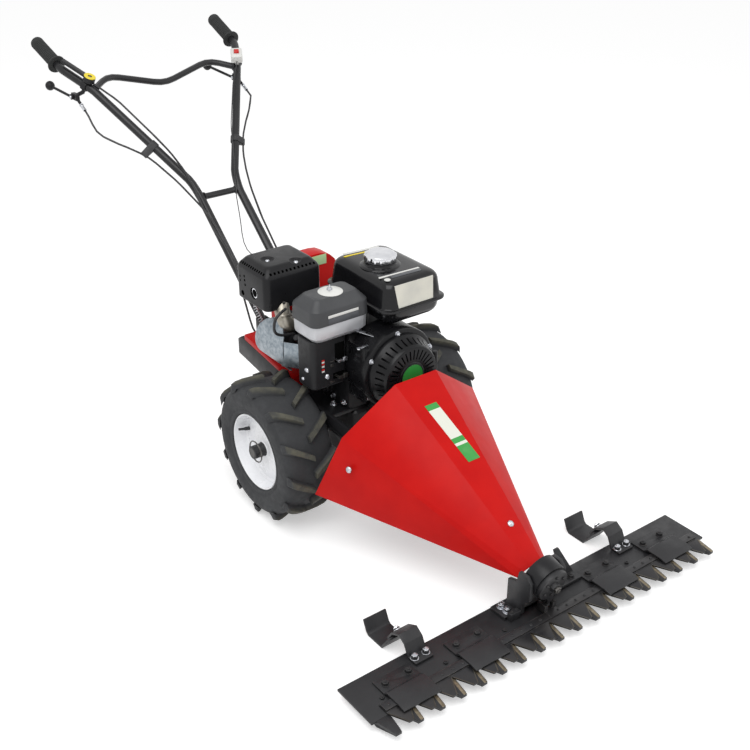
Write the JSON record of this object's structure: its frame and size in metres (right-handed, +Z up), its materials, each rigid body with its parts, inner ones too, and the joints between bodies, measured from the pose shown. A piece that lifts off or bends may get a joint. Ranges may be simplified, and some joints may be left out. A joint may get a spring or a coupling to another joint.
{
  "type": "sickle bar mower",
  "caption": "Walk-behind grass cutter: sickle bar and folded drive cover in front, small engine over two lugged tyres, tubular handlebars with levers and cables behind.",
  "frame": {"origin": "on the ground, under the middle of the overall box", "axes": "+Z up, the cutter bar at -Y, the handle at +Y, the machine's left at +X"},
  "size_m": [0.904, 1.7336, 0.9054],
  "materials": {
    "red_paint": "gloss red paint on sheet steel",
    "black_paint": "satin black paint on steel",
    "black_plastic": "fine-grained black plastic",
    "white_paint": "gloss white paint on pressed steel",
    "white_plastic": "smooth white plastic",
    "red_plastic": "smooth red plastic",
    "yellow_plastic": "yellow plastic with a black handle in the visual model",
    "tyre": "matt tyre rubber",
    "rubber": "matt grip and belt rubber",
    "steel": "bare machined steel",
    "zinc": "zinc-plated steel",
    "engine_black": "die-cast aluminium painted satin black",
    "aluminium": "bare cast aluminium",
    "chrome": "bright chrome",
    "cast_iron": "dark cast iron, matt"
  },
  "bodies": {
    "chassis": {"frame_rails": "black_paint", "side_plate": "red_paint", "gearbox_housing": "cast_iron", "belt_cover": "red_paint", "drive_belt": "rubber", "drive_tube": "black_paint", "cutter_bar": "black_paint", "bar_foot": "black_paint", "guard_fingers": "steel", "hold_down_clip_1": "black_paint", "hold_down_clip_2": "black_paint", "hold_down_clip_3": "black_paint", "hold_down_clip_4": "black_paint", "skid_left": "black_paint", "skid_right": "black_paint", "skid_bracket_left": "black_paint", "skid_bracket_right": "black_paint", "cone_cover": "red_paint", "engine_block": "engine_black", "cylinder_head": "aluminium", "fan_shroud": "black_paint", "recoil_cover": "black_paint", "fuel_tank": "black_paint", "carburettor": "aluminium", "air_cleaner_cover": "black_plastic", "carb_cover": "black_plastic", "muffler_guard": "black_paint", "muffler_body": "cast_iron", "heat_shield": "zinc", "handle_frame": "black_paint", "grip_left": "rubber", "grip_right": "rubber", "control_bracket_left": "black_plastic", "control_bracket_right": "black_plastic", "switch_box": "white_plastic", "clutch_cable_left": "black_plastic", "clutch_cable_right": "black_plastic", "throttle_cable": "black_plastic", "stop_wire": "black_plastic", "tension_spring": "zinc"},
    "wheels": {"tyre_left": "tyre", "tyre_right": "tyre", "rim_left": "white_paint", "rim_right": "white_paint", "axle_shaft": "steel"},
    "crank": {"crankshaft": "steel", "flywheel": "aluminium"},
    "gear_input": {"input_shaft": "steel"},
    "blade_shaft": {"drive_shaft": "steel"},
    "knife": {"knife_bar": "black_paint"},
    "rocker": {"rocker_arm": "black_paint"},
    "right_lever": {"clutch_lever_right": "black_plastic"},
    "left_lever": {"clutch_lever_left": "black_plastic"},
    "idler": {"idler_arm": "zinc"},
    "throttle": {"throttle_lever": "yellow_plastic"},
    "button": {"stop_button": "red_plastic"},
    "choke": {"choke_lever": "zinc"},
    "fuel_valve": {"fuel_valve_lever": "zinc"},
    "cap": {"fuel_cap": "chrome"},
    "starter": {"starter_grip": "black_plastic"}
  },
  "joints": [
    {"name": "wheel_spin", "type": "hinge", "parent": "chassis", "child": "wheels", "pos_m": [0, -0.13182, 0.1655], "axis": [1, 0, 0], "continuous": true},
    {"name": "crank_spin", "type": "hinge", "parent": "chassis", "child": "crank", "pos_m": [0.012, -0.13182, 0.3615], "axis": [0, 1, 0], "continuous": true},
    {"name": "input_spin", "type": "hinge", "parent": "chassis", "child": "gear_input", "pos_m": [0, -0.13182, 0.21], "axis": [0, 1, 0], "continuous": true},
    {"name": "drive_spin", "type": "hinge", "parent": "chassis", "child": "blade_shaft", "pos_m": [0, -0.78182, 0.108], "axis": [0, -0.9703, -0.2419], "continuous": true},
    {"name": "knife_slide", "type": "slide", "parent": "chassis", "child": "knife", "axis": [1, 0, 0], "range_m": [-0.033, 0.017]},
    {"name": "rocker_swing", "type": "hinge", "parent": "chassis", "child": "rocker", "pos_m": [0, -0.80442, 0.10236], "axis": [0, -0.9703, -0.2419], "range_deg": [-30, 15.5]},
    {"name": "clutch_lever_right_swing", "type": "hinge", "parent": "chassis", "child": "right_lever", "pos_m": [-0.245, 0.69818, 0.785], "axis": [1, 0, 0], "range_deg": [0, 17], "stiffness_Nm_per_rad": 0.6, "springref_deg": -5.73},
    {"name": "clutch_lever_left_swing", "type": "hinge", "parent": "chassis", "child": "left_lever", "pos_m": [0.2, 0.66818, 0.7752], "axis": [1, 0, 0], "range_deg": [0, 17], "stiffness_Nm_per_rad": 0.6, "springref_deg": -5.73},
    {"name": "idler_swing", "type": "hinge", "parent": "chassis", "child": "idler", "pos_m": [0.08, 0.06118, 0.345], "axis": [0, 1, 0], "range_deg": [0, 6.8]},
    {"name": "throttle_swing", "type": "hinge", "parent": "chassis", "child": "throttle", "pos_m": [-0.21018, 0.66411, 0.82883], "axis": [0.1987, -0.3701, 0.9075], "range_deg": [-70, 0]},
    {"name": "stop_button_press", "type": "slide", "parent": "chassis", "child": "button", "axis": [0.1987, 0.3701, -0.9075], "range_m": [0, 0.003], "stiffness_N_per_m": 250, "springref_m": -0.001},
    {"name": "choke_swing", "type": "hinge", "parent": "chassis", "child": "choke", "pos_m": [-0.105, -0.21637, 0.392], "axis": [0, 1, 0], "range_deg": [-60, 0]},
    {"name": "fuel_valve_swing", "type": "hinge", "parent": "chassis", "child": "fuel_valve", "pos_m": [-0.105, -0.21637, 0.352], "axis": [0, 1, 0], "range_deg": [0, 60]},
    {"name": "fuel_cap_turn", "type": "hinge", "parent": "chassis", "child": "cap", "pos_m": [0.048, -0.18582, 0.569], "axis": [0, 0, 1], "range_deg": [0, 90]},
    {"name": "starter_pull", "type": "slide", "parent": "chassis", "child": "starter", "axis": [1, 0, 0], "range_m": [0, 0.1], "stiffness_N_per_m": 60, "springref_m": -0.05}
  ],
  "couplings": [
    {"joint": "input_spin", "follows": "crank_spin", "ratio": 0.63636},
    {"joint": "drive_spin", "follows": "crank_spin", "ratio": 0.63636},
    {"joint": "rocker_swing", "follows": "knife_slide", "rad_per_m": 15.625},
    {"joint": "idler_swing", "follows": "clutch_lever_right_swing", "ratio": 0.4}
  ]
}
